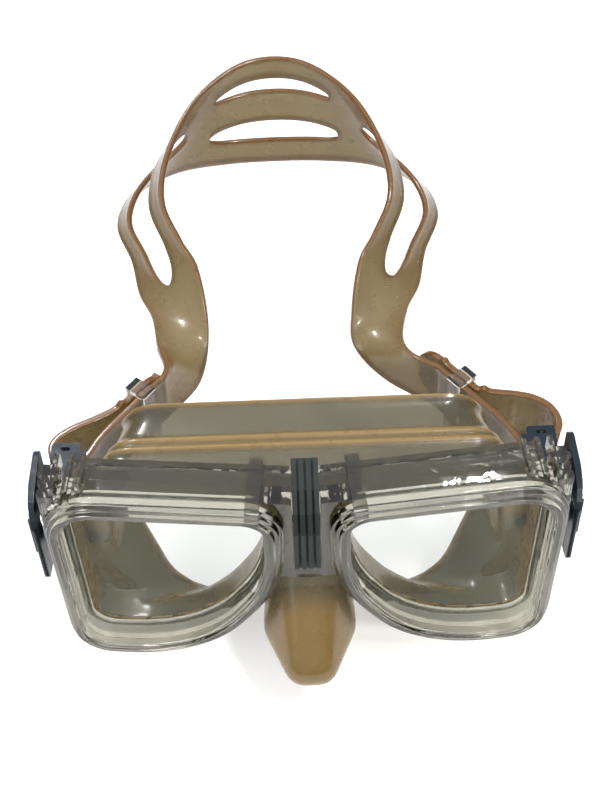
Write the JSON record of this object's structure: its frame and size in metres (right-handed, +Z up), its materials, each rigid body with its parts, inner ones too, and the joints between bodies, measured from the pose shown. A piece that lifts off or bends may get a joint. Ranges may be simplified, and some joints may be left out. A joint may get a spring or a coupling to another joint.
{
  "type": "snorkel mask",
  "caption": "Snorkel mask with clear lens frame, silicone skirt and nose pocket, swivel strap buckles with press levers, and a split silicone head strap.",
  "frame": {"origin": "on the flat underside of the nose bridge, in the middle plane, just behind the lens seats", "axes": "+X towards the right of the front view, +Y from the lenses towards the face and strap, +Z up"},
  "size_m": [0.1836, 0.2481, 0.1041],
  "materials": {
    "clear_frame": "clear polycarbonate, polished, lightly scuffed",
    "lens_glass": "clear tempered glass",
    "amber_silicone": "translucent silicone yellowed with age, satin",
    "dark_plastic": "dark slate moulded plastic, satin",
    "steel_pin": "stainless steel"
  },
  "bodies": {
    "mask": {"frame": "clear_frame", "lens_retainer_left": "clear_frame", "lens_retainer_right": "clear_frame", "lens_left": "lens_glass", "lens_right": "lens_glass", "bridge_insert": "dark_plastic", "brow_clip_left": "clear_frame", "brow_clip_right": "clear_frame", "skirt": "amber_silicone", "swivel_pin_left": "steel_pin", "swivel_pin_right": "steel_pin", "strap_stem_left": "amber_silicone", "strap_stem_right": "amber_silicone", "strap_tail_left": "amber_silicone", "strap_tail_right": "amber_silicone"},
    "buckle_left": {"buckle_body_left": "clear_frame", "buckle_yoke_left": "dark_plastic", "lever_pin_left": "steel_pin", "roller_pin_left": "steel_pin", "strap_end_left": "amber_silicone"},
    "lever_left": {"buckle_lever_left": "dark_plastic", "lever_spring_left": "steel_pin"},
    "roller_left": {"strap_roller_left": "clear_frame"},
    "keeper_left": {"strap_keeper_left": "clear_frame"},
    "buckle_right": {"buckle_body_right": "clear_frame", "buckle_yoke_right": "dark_plastic", "lever_pin_right": "steel_pin", "roller_pin_right": "steel_pin", "strap_end_right": "amber_silicone"},
    "lever_right": {"buckle_lever_right": "dark_plastic", "lever_spring_right": "steel_pin"},
    "roller_right": {"strap_roller_right": "clear_frame"},
    "keeper_right": {"strap_keeper_right": "clear_frame"},
    "strap": {"strap_loop": "amber_silicone"}
  },
  "joints": [
    {"name": "buckle_swivel_left", "type": "hinge", "parent": "mask", "child": "buckle_left", "pos_m": [-0.0805, 0.021, 0.003], "axis": [0, 0, 1], "range_deg": [-4, 5]},
    {"name": "lever_press_left", "type": "hinge", "parent": "buckle_left", "child": "lever_left", "pos_m": [-0.086, 0.029, 0.003], "axis": [0, 0, 1], "range_deg": [0, 5]},
    {"name": "roller_spin_left", "type": "hinge", "parent": "buckle_left", "child": "roller_left", "pos_m": [-0.0805, 0.038, 0.003], "axis": [0, 0, 1], "continuous": true},
    {"name": "keeper_slide_left", "type": "slide", "parent": "mask", "child": "keeper_left", "axis": [0.6157, 0.788, 0], "range_m": [-0.003, 0.005]},
    {"name": "buckle_swivel_right", "type": "hinge", "parent": "mask", "child": "buckle_right", "pos_m": [0.0805, 0.021, 0.003], "axis": [0, 0, -1], "range_deg": [-4, 5]},
    {"name": "lever_press_right", "type": "hinge", "parent": "buckle_right", "child": "lever_right", "pos_m": [0.086, 0.029, 0.003], "axis": [0, 0, -1], "range_deg": [0, 5]},
    {"name": "roller_spin_right", "type": "hinge", "parent": "buckle_right", "child": "roller_right", "pos_m": [0.0805, 0.038, 0.003], "axis": [0, 0, 1], "continuous": true},
    {"name": "keeper_slide_right", "type": "slide", "parent": "mask", "child": "keeper_right", "axis": [-0.6157, 0.788, 0], "range_m": [-0.003, 0.005]},
    {"name": "strap_lift", "type": "hinge", "parent": "mask", "child": "strap", "pos_m": [-0.0035, 0.0756, 0.003], "axis": [1, 0, 0], "range_deg": [-13, 13]}
  ]
}
